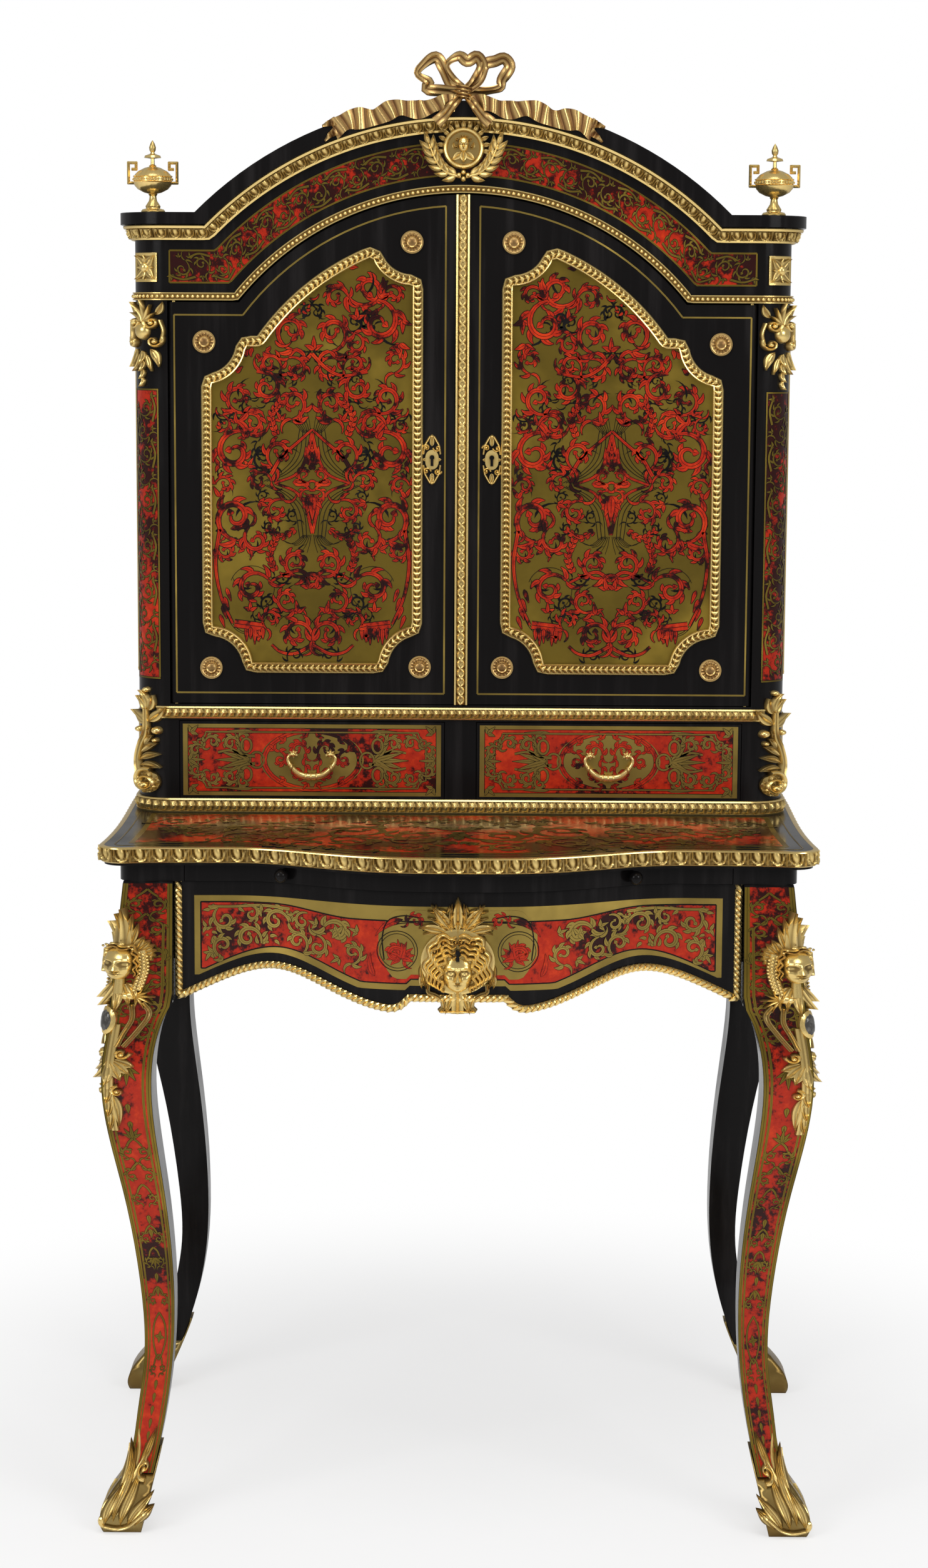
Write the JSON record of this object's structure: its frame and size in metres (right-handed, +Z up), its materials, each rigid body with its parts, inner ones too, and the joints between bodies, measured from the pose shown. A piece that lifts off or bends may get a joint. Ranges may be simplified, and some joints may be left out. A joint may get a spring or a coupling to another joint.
{
  "type": "bonheur-du-jour writing cabinet",
  "caption": "Ebonised lady's writing cabinet: serpentine table with frieze drawer and writing slide, arched two-door cabinet above, Boulle marquetry and gilt mounts.",
  "frame": {"origin": "middle of the footprint, on the floor", "axes": "+Z up, the front with the doors faces -Y, +X to the viewer's right"},
  "size_m": [0.8182, 0.56, 1.6055],
  "materials": {
    "ebony": "ebonised, French polished",
    "gilt_bronze": "gilt bronze, burnished",
    "tortoiseshell_marquetry": "red tortoiseshell inlaid with brass scrolls",
    "oak": "plain oak, waxed",
    "lock_steel": "filed steel"
  },
  "bodies": {
    "carcass": {"back_panel": "oak", "back_rail": "ebony", "base_moulding": "gilt_bronze", "bow_crest": "gilt_bronze", "cabinet_floor": "ebony", "cabinet_left_side": "ebony", "cabinet_right_side": "ebony", "corner_mounts": "gilt_bronze", "corner_post_left": "ebony", "corner_post_right": "ebony", "cornice_cap": "ebony", "cornice_moulding": "gilt_bronze", "drawer_dividers": "ebony", "drawer_runners": "oak", "dust_board": "oak", "fascia": "ebony", "fascia_bead": "gilt_bronze", "front_leg_left": "ebony", "front_leg_right": "ebony", "leg_busts": "gilt_bronze", "medallion": "gilt_bronze", "mid_board": "ebony", "mid_moulding": "gilt_bronze", "pivot_pins": "gilt_bronze", "rear_leg_left": "ebony", "rear_leg_right": "ebony", "sabots": "gilt_bronze", "shelf": "oak", "shelf_battens": "oak", "side_rails": "ebony", "table_top": "ebony", "top_frame": "ebony", "top_rim": "gilt_bronze", "urns": "gilt_bronze"},
    "door_left": {"left_door": "ebony", "left_door_panel": "tortoiseshell_marquetry", "left_door_moulding": "gilt_bronze", "left_door_mounts": "gilt_bronze"},
    "door_right": {"right_door": "ebony", "right_door_panel": "tortoiseshell_marquetry", "right_door_moulding": "gilt_bronze", "right_door_mounts": "gilt_bronze", "astragal": "gilt_bronze", "door_lock": "lock_steel"},
    "frieze_drawer": {"frieze_drawer_front": "ebony", "frieze_drawer_box": "oak", "drawer_mask": "gilt_bronze", "apron_rope": "gilt_bronze", "frieze_lock": "lock_steel"},
    "slide": {"writing_slide": "oak", "slide_lipping": "ebony", "slide_knobs": "ebony"},
    "drawer_left": {"left_drawer_front": "ebony", "left_drawer_box": "oak", "left_bail_posts": "gilt_bronze"},
    "drawer_right": {"right_drawer_front": "ebony", "right_drawer_box": "oak", "right_bail_posts": "gilt_bronze"},
    "bail_left": {"left_bail": "gilt_bronze"},
    "bail_right": {"right_bail": "gilt_bronze"}
  },
  "joints": [
    {"name": "left_door_hinge", "type": "hinge", "parent": "carcass", "child": "door_left", "pos_m": [-0.3224, 0.033, 0.883], "axis": [0, 0, -1], "range_deg": [0, 90]},
    {"name": "right_door_hinge", "type": "hinge", "parent": "carcass", "child": "door_right", "pos_m": [0.3224, 0.033, 0.883], "axis": [0, 0, 1], "range_deg": [0, 90]},
    {"name": "frieze_drawer_slide", "type": "slide", "parent": "carcass", "child": "frieze_drawer", "axis": [0, -1, 0], "range_m": [0, 0.28]},
    {"name": "writing_slide_pull", "type": "slide", "parent": "carcass", "child": "slide", "axis": [0, -1, 0], "range_m": [0, 0.22]},
    {"name": "left_drawer_slide", "type": "slide", "parent": "carcass", "child": "drawer_left", "axis": [0, -1, 0], "range_m": [0, 0.15]},
    {"name": "right_drawer_slide", "type": "slide", "parent": "carcass", "child": "drawer_right", "axis": [0, -1, 0], "range_m": [0, 0.15]},
    {"name": "left_bail_swing", "type": "hinge", "parent": "drawer_left", "child": "bail_left", "pos_m": [-0.1685, 0.019, 0.8255], "axis": [-1, 0, 0], "range_deg": [0, 80]},
    {"name": "right_bail_swing", "type": "hinge", "parent": "drawer_right", "child": "bail_right", "pos_m": [0.1685, 0.019, 0.8255], "axis": [-1, 0, 0], "range_deg": [0, 80]}
  ]
}
